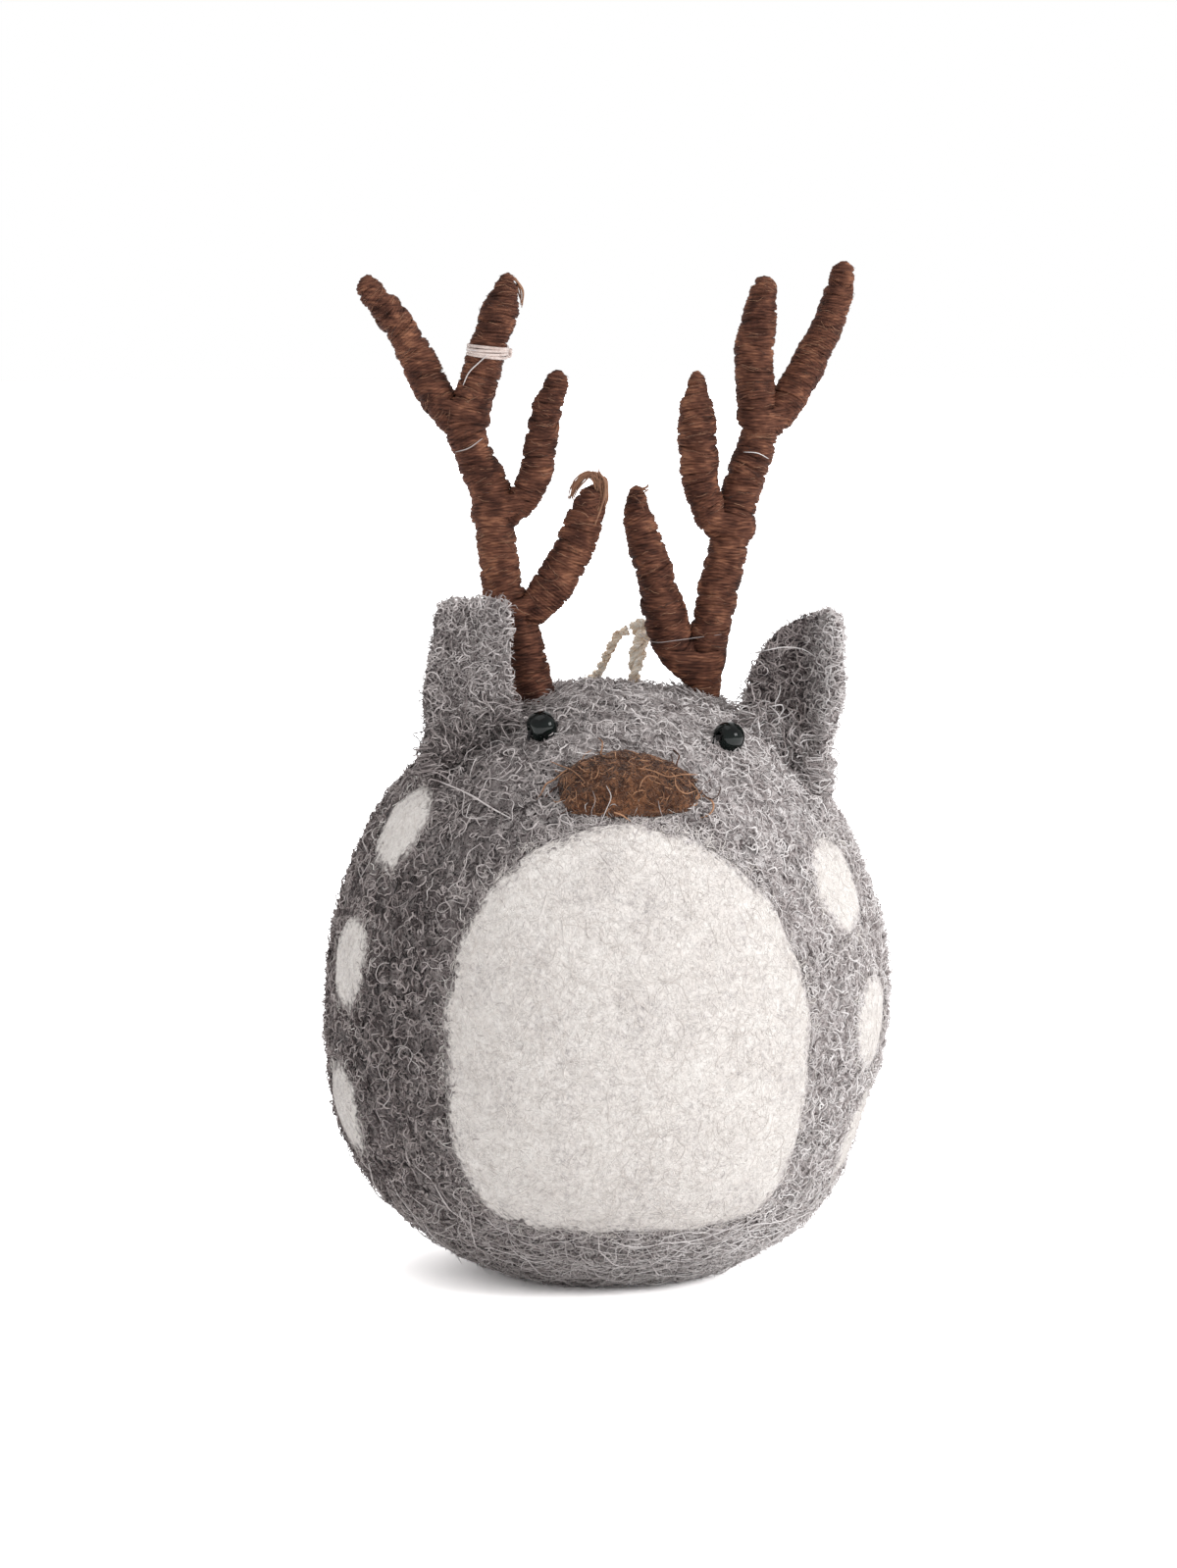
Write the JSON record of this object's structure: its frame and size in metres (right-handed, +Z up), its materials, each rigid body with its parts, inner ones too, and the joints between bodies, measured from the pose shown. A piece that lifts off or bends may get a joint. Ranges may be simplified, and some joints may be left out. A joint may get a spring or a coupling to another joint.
{
  "type": "felt christmas ornament",
  "caption": "Needle-felted wool ball shaped as a reindeer, with thread-wound wire antlers, felt ears and belly, bead eyes and a twine hanging loop.",
  "frame": {"origin": "middle of the flat that the ball stands on", "axes": "+Z up along the antlers, the face looks along -Y, +X to the right as seen from the front"},
  "size_m": [0.0604, 0.0633, 0.1095],
  "materials": {
    "grey_felt": "needle-felted curly grey wool with white and dark fibres, fuzzy",
    "white_felt": "finely matted white wool felt",
    "brown_felt": "brown wool felt with light and dark fibres",
    "raw_wool": "loosely packed undyed wool",
    "brown_thread": "matt brown thread, tightly wound",
    "black_thread": "black sewing thread",
    "white_thread": "satin off-white thread",
    "twine": "two-ply beige twine with loose fibres",
    "black_glass": "opaque black glass, polished",
    "steel_wire": "bare annealed wire"
  },
  "bodies": {
    "ornament": {"belly_patch": "white_felt", "nose": "brown_felt", "wool_core": "raw_wool", "felt_ball": "grey_felt", "ear_left": "grey_felt", "ear_right": "grey_felt", "tine_tie": "white_thread", "loop_root": "twine", "eye_bead_left": "black_glass", "eye_stitch_left": "black_thread", "antler_wire_left": "steel_wire", "eye_bead_right": "black_glass", "eye_stitch_right": "black_thread", "antler_wire_right": "steel_wire", "spot_left_upper": "white_felt", "spot_left_middle": "white_felt", "spot_left_lower": "white_felt", "spot_right_upper": "white_felt", "spot_right_middle": "white_felt", "spot_right_lower": "white_felt", "spot_back_1": "white_felt", "spot_back_2": "white_felt", "spot_back_3": "white_felt", "spot_back_4": "white_felt", "spot_back_5": "white_felt", "spot_back_6": "white_felt", "winding_left_beam": "brown_thread", "winding_left_outer": "brown_thread", "winding_left_middle": "brown_thread", "winding_left_inner": "brown_thread", "winding_right_beam": "brown_thread", "winding_right_outer": "brown_thread", "winding_right_middle": "brown_thread", "winding_right_inner": "brown_thread"},
    "loop": {"hanging_loop": "twine"}
  },
  "joints": [
    {"name": "loop_swing", "type": "hinge", "parent": "ornament", "child": "loop", "pos_m": [0.0044, 0.005, 0.0695], "axis": [1, 0, 0], "range_deg": [0, 140]}
  ]
}
